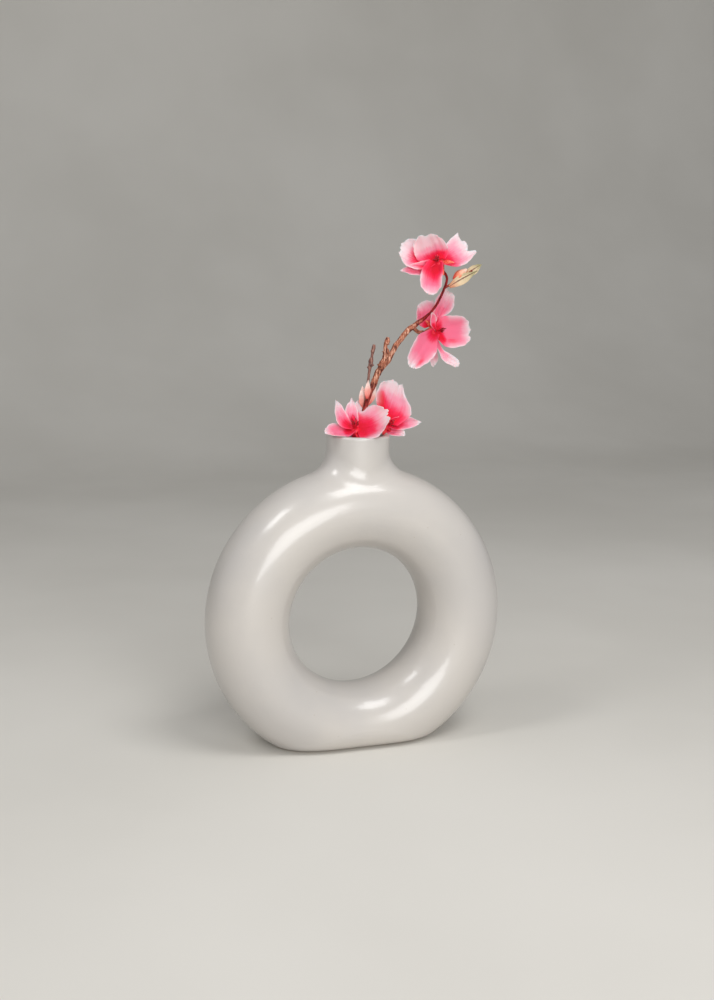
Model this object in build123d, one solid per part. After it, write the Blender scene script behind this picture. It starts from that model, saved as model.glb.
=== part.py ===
from build123d import *
import os
from math import cos, radians, sin

os.makedirs("parts", exist_ok=True)

# Everything is in millimetres. The vase stands on z = 0, its donut hole looks along Y,
# and the origin is the middle of its base. The spray leans out towards +X.

# Vase: one hollow ring of glazed stoneware with a short round neck, cut flat to stand on
RING_OUTER_R = 99.3      # the donut's centre to its outermost crown
HOLE_R = 46.0            # the hole through the middle
RING_DEPTH = 58.0        # front to back
BASE_CUT = 15.5          # how much of the lowest crown is missing
NECK_R = 20.2            # outside of the neck
NECK_RISE = 19.9         # the topmost crown to the lip
RING_WALL = 5.0
NECK_WALL = 3.8
FLOOR = 6.0              # the wall that the vase stands on
SHOULDER_ROUND = 18.0    # the sweep from the ring into the neck
FOOT_ROUND_SHARE = 0.51  # the soft edge of the base, of the tightest curve round the ring
LIP_ROUND_SHARE = 0.45   # of the neck's wall, on both sides of the lip

# Branch of the blossom spray: a moulded plastic stem over a steel wire
BRANCH_REACH = 59.5      # sideways, from the neck's axis to the branch's tip
BRANCH_RISE = 105.0      # from the lip up to the branch's tip
BRANCH_R = 1.9           # at its thickest
WIRE_R = 0.4
WIRE_FIT = 0.05
STEM_CLEARANCE = 0.4     # the stem's cut end over the hollow's floor
TWIG_R = 1.5             # side twigs at their thickest knuckle
STALK_R = 0.9            # the short stalks that carry blossoms
STEM_SIDES = 8           # flats round a stem, a calyx and a bud

# Blossoms: cut petals round a moulded calyx, with a bundle of stamens in the middle
PETAL_WALL = 0.6
CALYX_R = 3.2
CALYX_LENGTH = 6.0
SOCKET_DEPTH = 2.4       # how far a stalk's end goes into its calyx
SOCKET_FIT = 0.06
STAMEN_LENGTH = 9.0
STAMEN_THICK = 0.5
SEAT = 0.12              # between a glued piece and what it is glued to
TOP_PETAL = 28.0         # longest petal of each blossom
MIDDLE_PETAL = 28.0
RIM_LEFT_PETAL = 24.0
RIM_RIGHT_PETAL = 28.0
BRACT = 16.0             # longest of the narrow leaves on the branch
BUD_R = 2.7              # the closed bud at its fattest
BUD_LENGTH = 11.3

# Worked out from the sizes above
RING_CENTRE = RING_OUTER_R - BASE_CUT
RING_MID_R = (RING_OUTER_R + HOLE_R) / 2
RING_HALF_ACROSS = (RING_OUTER_R - HOLE_R) / 2
RING_HALF_DEPTH = RING_DEPTH / 2
LIP = RING_CENTRE + RING_OUTER_R + NECK_RISE
NECK_BORE_R = NECK_R - NECK_WALL
HOLLOW_FLOOR = RING_CENTRE + HOLE_R + RING_WALL
SECTION_CURVE_R = RING_HALF_ACROSS**2 / RING_HALF_DEPTH
OVERRUN = RING_WALL
CLAW = 2 * PETAL_WALL    # what is cut off a petal's root where it meets the calyx
VAST = 3 * RING_OUTER_R


def donut(half_across, half_depth):
    """A solid ring with an elliptical section, its axis along Y, at the vase's place."""
    halves = [
        EllipticalCenterArc((RING_MID_R, 0), half_across, half_depth, start_angle=start, arc_size=180)
        for start in (0, 180)
    ]
    ring = revolve(make_face(halves), Axis.Y)
    return Pos(0, 0, RING_CENTRE) * Rot(0, 90, 0) * ring


def above(solid, height):
    """The part of a solid that lies above a height."""
    keep = Box(VAST, VAST, VAST, align=(Align.CENTER, Align.CENTER, Align.MIN))
    return solid & (Pos(0, 0, height) * keep)


def neck_column(radius, top):
    """A round column from the middle of the ring's tube up to a height."""
    bottom = RING_CENTRE + RING_MID_R
    column = Cylinder(radius, top - bottom, align=(Align.CENTER, Align.CENTER, Align.MIN))
    return Pos(0, 0, bottom) * column


def vase_outside():
    """The ring, its neck and the sweep between them, rounded where it meets the table."""
    ring = donut(RING_HALF_ACROSS, RING_HALF_DEPTH)
    neck = neck_column(NECK_R, LIP)
    body = ring + neck
    body = fillet(new_edges(ring, neck, combined=body), SHOULDER_ROUND)
    body = above(body, 0)
    return fillet(body.edges().group_by(Axis.Z)[0], FOOT_ROUND_SHARE * SECTION_CURVE_R)


def vase_inside():
    """The hollow that holds the water: ring and neck bore in one, with a flat floor."""
    ring = above(donut(RING_HALF_ACROSS - RING_WALL, RING_HALF_DEPTH - RING_WALL), FLOOR)
    return ring + neck_column(NECK_BORE_R, LIP + OVERRUN)


def make_vase():
    vase = vase_outside() - vase_inside()
    return fillet(vase.edges().group_by(Axis.Z)[-1], LIP_ROUND_SHARE * NECK_WALL)


# Shares along a petal's midrib, and its half width there as a share of its widest
STATION_SHARES = (0, 0.20, 0.50, 0.82, 1)
OUTLINE_SHARES = {
    "round": (0.22, 0.62, 1, 0.88, 0.18),
    "fan": (0.22, 0.62, 1, 0.98, 0.42),
    "tongue": (0.28, 0.76, 1, 0.86, 0.22),
    "point": (0.30, 0.72, 1, 0.56, 0.05),
    "spoon": (0.32, 0.32, 0.58, 1, 0.25),
    "low": (0.22, 0.74, 1, 0.70, 0.18),
}
CREASED_SHARE = 0.56     # a petal narrower than this share of its length is creased


def place(reach_share, rise_share, depth_share=0):
    """A point of the spray, in shares of the branch's reach and its rise above the lip."""
    return Vector(reach_share * BRANCH_REACH, depth_share * RING_HALF_DEPTH, LIP + rise_share * BRANCH_RISE)


def by_lip(side_share, rise_share, depth_share):
    """A point of a blossom that lies on the lip: as place, but sideways in shares of the neck's radius."""
    return Vector(side_share * NECK_R, depth_share * RING_HALF_DEPTH, LIP + rise_share * BRANCH_RISE)


def heading(turn, front):
    """A direction: turned from +X towards +Z, then leant towards the front."""
    turn, front = radians(turn), radians(front)
    return Vector(cos(front) * cos(turn), -sin(front), cos(front) * sin(turn))


def stem(route, radii):
    """A moulded stem with flats like bark: tapers between polygons square to its route."""
    rings, side = [], Vector(0, 1, 0)
    for index, point in enumerate(route):
        before, after = route[max(index - 1, 0)], route[min(index + 1, len(route) - 1)]
        way = (after - before).normalized()
        side = (side - way * side.dot(way)).normalized()
        plane = Plane(point, x_dir=side, z_dir=way)
        rings.append(plane * RegularPolygon(radii[index], side_count=STEM_SIDES))
    return loft(rings, ruled=True)


def faceted(plane, heights, radii):
    """A flat-sided moulded body: tapers between polygons stacked along a plane's normal."""
    rings = [plane.offset(h) * RegularPolygon(r, side_count=STEM_SIDES) for h, r in zip(heights, radii)]
    return loft(rings, ruled=True)


def flat_sided(radius, height):
    """A short peg or socket that a stem's rounded end just fits, its middle at the origin."""
    return extrude(RegularPolygon(radius, STEM_SIDES, major_radius=False), height / 2, both=True)


def petal(base, facing, heading_to, reach, width, outline, cup_share, bow_share, sway_share=0, roll=0):
    """A cupped petal of even thickness, from its base out along a heading.

    cup_share lifts its sides towards the blossom's inside, bow_share curves its midrib
    outwards and sway_share sideways, and roll turns it about its midrib. A narrow petal
    is creased along its midrib, and a broad one is round across.
    """
    level = (facing - heading_to * facing.dot(heading_to)).normalized()
    beside = heading_to.cross(level)
    inward = level * cos(radians(roll)) + beside * sin(radians(roll))
    across = beside * cos(radians(roll)) - level * sin(radians(roll))
    skin = inward * PETAL_WALL
    sections = []
    for station, share in zip(STATION_SHARES, OUTLINE_SHARES[outline]):
        arch = 4 * station * (1 - station) * reach
        middle = base + heading_to * (station * reach)
        rib = middle - inward * (bow_share * arch) + across * (sway_share * arch)
        half = share * width / 2
        left = rib - across * half + inward * (cup_share * half)
        right = rib + across * half + inward * (cup_share * half)
        if width < CREASED_SHARE * reach:
            corners = (left, rib, right, right + skin, rib + skin, left + skin)
            sections.append(make_face(Polyline(*corners, close=True)))
        else:
            outer = ThreePointArc(left, rib, right)
            inner = ThreePointArc(right + skin, rib + skin, left + skin)
            sections.append(make_face([outer, Line(right, right + skin), inner, Line(left + skin, left)]))
    return loft(sections, ruled=True)


# Blossoms: place, facing, longest petal and petals. A petal has its turn, its lean to the front,
# its length and width as shares of the longest, its outline, and its cup, bow, sway, roll and lift.
BLOSSOM_SHARES = {
    "top": (place(0.887, 1.03), Vector(-0.6, -0.45, 0.65), TOP_PETAL, {
        "back": (115, 15, 0.67, 0.84, "fan", 0.25, 0.08, 0, 0, 0.4),
        "left": (162, -25, 0.86, 0.72, "fan", 0.25, 0.08, 0, 0, 0),
        "left_low": (-165, -16, 0.95, 0.26, "point", 0.30, 0.05, 0, 0, -0.7),
        "tongue": (-111, 22, 0.80, 0.59, "tongue", 0.30, 0.10, 0, -25, 0),
        "right": (29, -10, 0.93, 0.72, "fan", 0.30, 0.08, 0, 35, -0.4),
    }),
    "middle": (place(0.874, 0.62, 0.17), Vector(0.45, -0.88, 0.12), MIDDLE_PETAL, {
        "upper": (62, -6, 1.00, 0.48, "round", 0.30, 0.06, 0, -20, 0),
        "upper_left": (114, -18, 0.65, 0.56, "round", 0.30, 0.06, 0, -20, -0.8),
        "inner": (107, 24, 0.33, 0.18, "round", 0.40, 0.05, 0, 0, 0.4),
        "right": (-1, 9, 0.85, 0.75, "fan", 0.30, 0.08, 0, 0, 0.5),
        "lower_left": (-130, 15, 1.00, 0.55, "round", 0.30, 0.06, 0, 20, 0.2),
        "lower_mid": (-88, -6, 0.75, 0.22, "round", 0.30, 0.06, 0, 0, -0.7),
        "lower_right": (-54, 17, 0.92, 0.29, "spoon", 0.30, 0.04, 0.10, 20, 0),
    }),
    "rim_left": (by_lip(-0.236, 0.028, -0.28), Vector(-0.1, -0.35, 0.93), RIM_LEFT_PETAL, {
        "over_rim": (175, 8, 0.79, 0.56, "fan", 0.30, 0.02, 0, -15, -0.2),
        "point": (123, -8, 0.93, 0.42, "point", 0.30, 0.05, 0, -20, 0.4),
        "inner": (92, -21, 0.86, 0.36, "point", 0.30, 0.05, 0, 0, 0.1),
        "small": (77, -25, 0.87, 0.20, "round", 0.30, 0.05, 0, 0, -0.5),
        "front": (28, 17, 0.93, 0.88, "fan", 0.30, 0.10, 0, 30, 0.3),
    }),
    "rim_right": (by_lip(0.884, 0.053, -0.07), Vector(0.25, -0.8, 0.45), RIM_RIGHT_PETAL, {
        "back": (73, -10, 1.00, 0.84, "low", 0.30, 0.08, 0, -15, 0.4),
        "low": (5, 7, 0.85, 0.30, "point", 0.30, 0.03, 0, 10, 0.1),
        "under": (-22, 29, 0.50, 0.27, "round", 0.30, 0.03, 0, 10, -1.0),
    }),
}
# Height of the calyx's rings as shares of its length, and their radii as shares of its own
CALYX_SHARES = ((-1, 0.48), (-0.1, 1), (0.2, 0.92), (0.35, 0.6))
STAMEN_BASE_SHARE = 0.3  # of the calyx's radius
STAMEN_LEANS = (0, 11, 11, 11, 11, 11)


def calyx_plane(blossom):
    base, facing = BLOSSOM_SHARES[blossom][:2]
    return Plane(base, x_dir=(0, 0, 1), z_dir=facing)


def calyx_top():
    return CALYX_SHARES[-1][0] * CALYX_LENGTH


def make_calyx(blossom):
    """The eight-sided cup behind a blossom, holed for its stalk and for its stamens."""
    plane = calyx_plane(blossom)
    heights = [share * CALYX_LENGTH for share, _ in CALYX_SHARES]
    body = faceted(plane, heights, [share * CALYX_R for _, share in CALYX_SHARES])
    socket = flat_sided(STALK_R + SOCKET_FIT, 2 * SOCKET_DEPTH)
    stamen_seat = flat_sided(STAMEN_BASE_SHARE * CALYX_R + SOCKET_FIT, SOCKET_DEPTH)
    return body - plane.offset(-CALYX_LENGTH) * socket - plane.offset(calyx_top()) * stamen_seat


def make_stamens(blossom):
    """A bundle of filaments that fan out of one peg in the calyx."""
    peg_height = SOCKET_DEPTH / 2 - SEAT
    bundle = Pos(0, 0, -peg_height / 2) * flat_sided(STAMEN_BASE_SHARE * CALYX_R, peg_height)
    rod = Box(STAMEN_THICK, STAMEN_THICK, STAMEN_LENGTH, align=(Align.CENTER, Align.CENTER, Align.MIN))
    for index, lean in enumerate(STAMEN_LEANS):
        turn = 360 * index / (len(STAMEN_LEANS) - 1)
        bundle += Pos(0, 0, -peg_height / 2) * Rot(0, 0, turn) * Rot(0, lean, 0) * rod
    return calyx_plane(blossom).offset(calyx_top()) * bundle


def make_petal(blossom, name):
    """One petal, its claw cut flat to lie against the calyx's side."""
    base, facing, longest, petals = BLOSSOM_SHARES[blossom]
    turn, front, length_share, width_share, outline, *shape, lift_share = petals[name]
    facing = facing.normalized()
    along = heading(turn, front)
    out = (along - facing * facing.dot(along)).normalized()
    seat = base + out * (CALYX_R + SEAT) + facing * (lift_share * CALYX_R)
    root = seat - along * CLAW
    whole = petal(root, facing, along, length_share * longest, width_share * longest, outline, *shape)
    return split(whole, Plane(seat, z_dir=out), keep=Keep.TOP)


# Route of the branch above the lip: shares of its reach, its rise and its thickest radius
BRANCH_SHARES = (
    (0.00, 0.00, 0.80),
    (0.04, 0.10, 0.70),
    (0.08, 0.17, 0.70),
    (0.13, 0.25, 0.80),
    (0.18, 0.33, 0.95),
    (0.235, 0.385, 0.95),
    (0.315, 0.44, 0.85),
    (0.405, 0.52, 0.80),
    (0.505, 0.60, 0.76),
    (0.635, 0.66, 0.82),
    (0.77, 0.715, 0.45),
    (0.87, 0.78, 0.42),
    (0.95, 0.87, 0.42),
    (0.985, 0.94, 0.42),
)
NECK_DROP_SHARES = (1, 0.55, 0.2)    # of the way down from the lip to the hollow's floor
WIRE_POINTS = slice(0, 13, 2)        # the wire is straighter and stops below the thin end


def calyx_stalk_end(blossom):
    """Two points in line: just behind the calyx, and the stalk's end in its socket."""
    base, facing = BLOSSOM_SHARES[blossom][:2]
    back = facing.normalized() * -1
    return [base + back * (CALYX_LENGTH + 2 * STALK_R), base + back * (CALYX_LENGTH - SOCKET_DEPTH + SEAT)]


def branch_route():
    """Points and radii of the branch, from its cut end in the vase to the top blossom."""
    drop = LIP - HOLLOW_FLOOR - STEM_CLEARANCE
    points = [Vector(0, 0, LIP - share * drop) for share in NECK_DROP_SHARES]
    radii = [BRANCH_R for share in NECK_DROP_SHARES]
    for reach_share, rise_share, radius_share in BRANCH_SHARES:
        points.append(place(reach_share, rise_share))
        radii.append(radius_share * BRANCH_R)
    return points + calyx_stalk_end("top"), radii + [STALK_R, STALK_R]


def branch_body(grow=0):
    points, radii = branch_route()
    return stem(points, [radius + grow for radius in radii])


def make_wire(grow=0):
    route = branch_route()[0][WIRE_POINTS]
    return stem(route, [WIRE_R + grow for point in route])


def make_branch():
    return branch_body() - make_wire(WIRE_FIT)


# Twigs that sit on the branch: shares of reach, rise and depth, then of the twig's radius
SIDE_TWIG_SHARES = (
    (0.06, 0.13, 0.00, 0.6),
    (0.085, 0.21, 0.03, 0.55),
    (0.105, 0.29, 0.04, 0.55),
    (0.128, 0.385, 0.05, 0.6),
    (0.143, 0.44, 0.05, 1.0),
    (0.152, 0.47, 0.05, 0.55),
    (0.170, 0.52, 0.05, 0.8),
    (0.172, 0.54, 0.05, 0.5),
)
BUD_SPUR_SHARES = (
    (0.215, 0.355, -0.03, 0.8),
    (0.245, 0.42, -0.06, 1.35),
    (0.272, 0.455, -0.07, 1.0),
    (0.292, 0.495, -0.07, 1.4),
    (0.282, 0.53, -0.07, 0.8),
    (0.30, 0.562, -0.07, 1.15),
    (0.31, 0.585, -0.07, 0.6),
)
BUD_TWIG_SHARES = (
    (0.965, 0.885, 0.00, 0.5),
    (1.08, 0.92, -0.02, 0.45),
    (1.20, 0.96, -0.03, 0.45),
    (1.27, 0.99, -0.03, 0.4),
)
STALK_SHARES = {
    "middle": ((0.60, 0.645, 0), (0.68, 0.615, 0.08), (0.76, 0.615, 0.22)),
    "rim_left": ((0, -0.14, 0), (-0.03, -0.08, -0.08)),
    "rim_right": ((0.03, 0.08, 0.01), (0.12, 0.04, 0.12), (0.2, 0.02, 0.18)),
}


def twig_body(rows, grow=0):
    """A moulded side twig along its rows of shares."""
    return stem([place(*row[:3]) for row in rows], [row[3] * TWIG_R + grow for row in rows])


def make_stalk(blossom):
    """A blossom's stalk, from the branch into the socket of its calyx."""
    route = [place(*row) for row in STALK_SHARES[blossom]] + calyx_stalk_end(blossom)
    return stem(route, [STALK_R for point in route]) - branch_body(SEAT)


# Narrow leaves: base place, turn, lean to the front, and shares of the longest one
BRACT_SHARES = {
    "bract_left": (place(0.075, 0.16, -0.03), 97, 12, 0.95, 0.28),
    "bract_right": (place(0.088, 0.215, -0.045), 89, 6, 0.75, 0.20),
    "bract_front": (place(0.09, 0.19, -0.02), 60, 8, 0.95, 0.30),
}
BUD_LEAF_SHARES = {
    "bud_leaf_lower": (place(1.0, 0.89, -0.07), 30, 8, 1.30, 0.38),
    "bud_leaf_upper": (place(1.2, 0.96, -0.03), 32, -6, 0.85, 0.36),
}
LEAF_FACING = Vector(-0.3, -0.93, 0.2)
LEAF_CUP_SHARE = 0.35
LEAF_BOW_SHARE = 0.04


def make_leaf(row):
    """A narrow pointed leaf, cut to what carries it."""
    base, turn, front, length_share, width_share = row
    length, width = length_share * BRACT, width_share * BRACT
    whole = petal(
        base, LEAF_FACING, heading(turn, front), length, width, "point", LEAF_CUP_SHARE, LEAF_BOW_SHARE
    )
    return whole - branch_body(SEAT)


# The bud: height and radius of its rings as shares of its length and its fattest radius
BUD_SHARES = ((0, 0.4), (0.32, 0.97), (0.62, 0.95), (1, 0.25))
BUD_TURN, BUD_FRONT = 52, 0


def make_bud():
    """The closed petals of a bud, a flat-sided egg that sits on its twig."""
    plane = Plane(place(1.06, 0.935), x_dir=(0, 1, 0), z_dir=heading(BUD_TURN, BUD_FRONT))
    heights = [share * BUD_LENGTH for share, _ in BUD_SHARES]
    return faceted(plane, heights, [share * BUD_R for _, share in BUD_SHARES])


def write(name, solid):
    export_step(solid, f"parts/{name}.step")


branch_space = branch_body(SEAT)
bud_twig_space = twig_body(BUD_TWIG_SHARES, SEAT)

write("vase_body", make_vase())
write("core_wire", make_wire())
write("main_branch", make_branch())
write("side_twig", twig_body(SIDE_TWIG_SHARES) - branch_space)
write("bud_spur", twig_body(BUD_SPUR_SHARES) - branch_space)
write("bud_twig", twig_body(BUD_TWIG_SHARES) - branch_space)
for name, row in BRACT_SHARES.items():
    write(name, make_leaf(row))
for name, row in BUD_LEAF_SHARES.items():
    write(name, make_leaf(row) - bud_twig_space)
write("bud_petals", make_bud() - bud_twig_space)
for blossom, (_, _, _, petals) in BLOSSOM_SHARES.items():
    write(f"{blossom}_calyx", make_calyx(blossom))
    write(f"{blossom}_stamens", make_stamens(blossom))
    for name in petals:
        write(f"{blossom}_petal_{name}", make_petal(blossom, name))
for blossom in STALK_SHARES:
    write(f"{blossom}_stalk", make_stalk(blossom))
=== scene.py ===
import bpy
import numpy as np
from mathutils import Matrix


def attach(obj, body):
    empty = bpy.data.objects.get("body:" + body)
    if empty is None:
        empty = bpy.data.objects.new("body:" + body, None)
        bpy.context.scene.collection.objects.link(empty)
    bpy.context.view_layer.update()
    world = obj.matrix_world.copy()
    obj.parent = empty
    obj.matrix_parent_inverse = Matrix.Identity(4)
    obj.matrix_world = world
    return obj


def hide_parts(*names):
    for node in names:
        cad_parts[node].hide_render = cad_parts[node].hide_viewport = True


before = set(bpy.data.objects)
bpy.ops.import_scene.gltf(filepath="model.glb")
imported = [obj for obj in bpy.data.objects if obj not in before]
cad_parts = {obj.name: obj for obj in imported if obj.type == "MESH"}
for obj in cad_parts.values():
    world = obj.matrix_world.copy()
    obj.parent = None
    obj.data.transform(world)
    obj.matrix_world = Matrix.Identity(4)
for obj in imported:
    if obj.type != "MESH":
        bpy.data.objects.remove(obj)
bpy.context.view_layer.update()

# Camera: stands 0.8 m from the vase, a little above its lip and to the left of its front,
# where the ring's outline and hole have the photograph's shape. The lens has no shift.
camera = bpy.data.objects.new("camera", bpy.data.cameras.new("camera"))
bpy.context.scene.collection.objects.link(camera)
bpy.context.scene.camera = camera
camera.data.lens = 44.72
camera.data.clip_start = 0.05
camera_right = (0.94492, -0.32693, 0.01576)
camera_up = (0.04237, 0.16990, 0.98455)
camera_back = (-0.32455, -0.92965, 0.17439)
camera_place = (-0.259613, -0.743796, 0.299785)
camera.matrix_world = Matrix(
    [*zip(camera_right, camera_up, camera_back, camera_place), (0, 0, 0, 1)]
)
bpy.context.scene.view_settings.view_transform = "Standard"

# Studio: a pale stone-coloured floor that runs up into a backdrop, a soft lamp above and one
# in front, a small one at the left and a plain pale world. None of it is part of the vase.
FLOOR_HALF = 3.0
SWEEP_START = 1.1
SWEEP_RADIUS = 0.9
BACKDROP_TOP = 4.0
STONE_DARK = (0.66, 0.635, 0.585)
STONE_PALE = (0.73, 0.705, 0.655)


def material(name):
    """A new node material and the parts of it that every finish starts from."""
    made = bpy.data.materials.new(name)
    made.use_nodes = True
    tree = made.node_tree
    return made, tree, tree.nodes["Principled BSDF"]


def node(tree, kind, inputs=None, **settings):
    """A node of one kind with its settings. An input is a value, or a socket to link."""
    made = tree.nodes.new(kind)
    for name, value in settings.items():
        setattr(made, name, value)
    for key, value in (inputs or {}).items():
        socket = made.inputs[key]
        if isinstance(value, bpy.types.NodeSocket):
            tree.links.new(value, socket)
        else:
            socket.default_value = value
    return made


def math(tree, operation, *values, clamp=False):
    """One sum on values or sockets, as a socket."""
    inputs = dict(enumerate(values))
    return node(tree, "ShaderNodeMath", inputs, operation=operation, use_clamp=clamp).outputs[0]


def ramp(tree, factor, stops):
    """A soft colour ramp through (place, colour) stops, as a socket."""
    made = node(tree, "ShaderNodeValToRGB", {"Fac": factor})
    made.color_ramp.interpolation = "EASE"
    elements = made.color_ramp.elements
    while len(elements) < len(stops):
        elements.new(1)
    for element, (place, colour) in zip(elements, stops):
        element.position = place
        element.color = (*colour, 1)
    return made.outputs["Color"]


def mix(tree, factor, first, second):
    """Two colours mixed, all the first at 0 and all the second at 1, as a socket."""
    made = node(tree, "ShaderNodeMix", data_type="RGBA")
    for key, value in ((0, factor), (6, first), (7, second)):
        if isinstance(value, bpy.types.NodeSocket):
            tree.links.new(value, made.inputs[key])
        elif key:
            made.inputs[key].default_value = (*value, 1)
        else:
            made.inputs[key].default_value = value
    return made.outputs[2]


def object_place(tree):
    """A point's place on the finished object, in metres, as a socket."""
    return node(tree, "ShaderNodeTexCoord").outputs["Object"]


def noise(tree, place, scale, detail=2.0):
    """Soft clouds from 0 to 1, finer with a larger scale, as a socket."""
    inputs = {"Vector": place, "Scale": scale, "Detail": detail}
    return node(tree, "ShaderNodeTexNoise", inputs).outputs["Fac"]


across = np.linspace(-FLOOR_HALF, FLOOR_HALF, 41)
flat_y = np.linspace(-FLOOR_HALF, SWEEP_START, 30)[:-1]
bend = np.linspace(0, np.pi / 2, 24)
profile_y = np.concatenate([flat_y, SWEEP_START + SWEEP_RADIUS * np.sin(bend)])
profile_z = np.concatenate([np.zeros(len(flat_y)), SWEEP_RADIUS * (1 - np.cos(bend))])
profile_y = np.append(profile_y, profile_y[-1])
profile_z = np.append(profile_z, BACKDROP_TOP)
floor_x, floor_y = np.meshgrid(across, profile_y)
floor_z = np.broadcast_to(profile_z[:, None], floor_x.shape)
floor_points = np.stack([floor_x, floor_y, floor_z], axis=-1).reshape(-1, 3)
floor_grid = np.arange(floor_x.size).reshape(floor_x.shape)
floor_quads = np.stack(
    [floor_grid[:-1, :-1], floor_grid[:-1, 1:], floor_grid[1:, 1:], floor_grid[1:, :-1]], axis=-1
)
floor_mesh = bpy.data.meshes.new("floor")
floor_mesh.from_pydata(floor_points.tolist(), [], floor_quads.reshape(-1, 4).tolist())
floor_mesh.shade_smooth()
floor = bpy.data.objects.new("floor", floor_mesh)
bpy.context.scene.collection.objects.link(floor)
floor_finish, tree, floor_shader = material("floor_stone")
floor_cloud = noise(tree, object_place(tree), 2.2, 4.0)
floor_colour = ramp(tree, floor_cloud, [(0.3, STONE_DARK), (0.7, STONE_PALE)])
tree.links.new(floor_colour, floor_shader.inputs["Base Color"])
floor_shader.inputs["Roughness"].default_value = 0.75
floor_shader.inputs["Specular IOR Level"].default_value = 0.12
floor_mesh.materials.append(floor_finish)


def lamp(name, place, aim, width, height, power):
    """A soft rectangular lamp at a place, turned to a point."""
    light = bpy.data.lights.new(name, "AREA")
    light.shape = "RECTANGLE"
    light.size, light.size_y, light.energy = width, height, power
    made = bpy.data.objects.new(name, light)
    bpy.context.scene.collection.objects.link(made)
    forward = np.subtract(aim, place) / np.linalg.norm(np.subtract(aim, place))
    side = np.cross(forward, (0, 0, 1))
    side /= np.linalg.norm(side)
    top = np.cross(side, forward)
    made.matrix_world = Matrix([*zip(side, top, -forward, place), (0, 0, 0, 1)])


lamp("window_above", (0.22, -0.50, 1.10), (0, 0, 0.12), 0.50, 0.40, 4.6)
lamp("soft_front", (-0.20, -1.70, 0.62), (0, 0, 0.20), 1.20, 0.90, 19.0)
lamp("small_left", (-0.62, -0.20, 0.95), (0, 0, 0.12), 0.22, 0.30, 1.8)
world = bpy.data.worlds.new("world")
bpy.context.scene.world = world
world.use_nodes = True
world.node_tree.nodes["Background"].inputs["Color"].default_value = (0.95, 0.97, 1.0, 1)
world.node_tree.nodes["Background"].inputs["Strength"].default_value = 0.34

# Vase: one slip-cast ring with its neck, dipped in an off-white glossy glaze that pools a
# little unevenly. Its underside was wiped before firing and shows the clay.
GLAZE = (0.500, 0.473, 0.448)
GLAZE_WARM = (0.550, 0.515, 0.476)
CLAY = (0.47, 0.40, 0.32)
SPECK = (0.35, 0.29, 0.22)
SPECK_SIZE = 0.07
SPECK_PICK = 0.62
SPECK_SHOWS = 0.35
WIPED_HEIGHT = 0.0012
EDGE_WANDER = 0.0012


def relief(tree, shader, height, strength, distance):
    """Bumps on a finish from a socket of heights, by a distance in metres at the most."""
    inputs = {"Height": height, "Strength": strength, "Distance": distance}
    bumps = node(tree, "ShaderNodeBump", inputs)
    tree.links.new(bumps.outputs["Normal"], shader.inputs["Normal"])


glaze, tree, shader = material("glaze")
place = object_place(tree)
height = node(tree, "ShaderNodeSeparateXYZ", {"Vector": place}).outputs["Z"]
pooling = noise(tree, place, 14.0, 3.0)
peel = noise(tree, place, 420.0)
speck = node(tree, "ShaderNodeTexVoronoi", {"Vector": place, "Scale": 170.0}).outputs["Distance"]
body_colour = ramp(tree, pooling, [(0.35, GLAZE), (0.65, GLAZE_WARM)])
is_small = math(tree, "LESS_THAN", speck, SPECK_SIZE)
is_picked = math(tree, "GREATER_THAN", noise(tree, place, 60.0), SPECK_PICK)
is_speck = math(tree, "MULTIPLY", is_small, is_picked)
speckled = mix(tree, math(tree, "MULTIPLY", is_speck, SPECK_SHOWS), body_colour, SPECK)
edge_wander = math(tree, "MULTIPLY_ADD", pooling, EDGE_WANDER, -EDGE_WANDER / 2)
wiped = math(tree, "LESS_THAN", math(tree, "ADD", height, edge_wander), WIPED_HEIGHT)
tree.links.new(mix(tree, wiped, speckled, CLAY), shader.inputs["Base Color"])
gloss = math(tree, "MULTIPLY_ADD", pooling, 0.08, 0.25)
dull = math(tree, "MAXIMUM", gloss, math(tree, "MULTIPLY", wiped, 0.8))
tree.links.new(dull, shader.inputs["Roughness"])
glazed = math(tree, "SUBTRACT", 1.0, wiped)
tree.links.new(math(tree, "MULTIPLY", glazed, 0.5), shader.inputs["Coat Weight"])
shader.inputs["Coat Roughness"].default_value = 0.13
shader.inputs["IOR"].default_value = 1.5
relief(tree, shader, math(tree, "MULTIPLY_ADD", pooling, 4.0, peel), 0.25, 0.0001)
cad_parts["vase_body"].material_slots[0].material = glaze

# Core wire: drawn steel wire that stiffens the branch and lets it be bent by hand. The
# branch is moulded over it, so next to nothing of it shows.
STEEL_DARK = (0.33, 0.32, 0.31)
STEEL_PALE = (0.52, 0.51, 0.50)
DRAWN = (9000.0, 9000.0, 300.0)
wire_steel, tree, shader = material("wire_steel")
drawn_out = node(tree, "ShaderNodeMapping", {"Vector": object_place(tree), "Scale": DRAWN})
drawn = noise(tree, drawn_out.outputs["Vector"], 1.0)
steel = ramp(tree, drawn, [(0.3, STEEL_DARK), (0.7, STEEL_PALE)])
tree.links.new(steel, shader.inputs["Base Color"])
tree.links.new(math(tree, "MULTIPLY_ADD", drawn, 0.2, 0.25), shader.inputs["Roughness"])
shader.inputs["Metallic"].default_value = 1.0
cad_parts["core_wire"].material_slots[0].material = wire_steel

# Branch: soft plastic moulded over the wire, with the rings, ridges and knots of a fruit
# tree's bark. It is tan and brown, and sprayed dark red at its foot and towards its tip.
LIP = 0.203
REACH = 0.0595
RISE = 0.105
RING_HALF_DEPTH = 0.029
BRANCH_RADIUS = 0.0019
STALK_RADIUS = 0.0009
CALYX_LENGTH = 0.006
SOCKET_DEPTH = 0.0024
SEAT = 0.00012
KNOB_SHARE = 0.018
COARSE_WIND = 900
FINE_WIND = 1500
RING_PITCH = 3100


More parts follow.
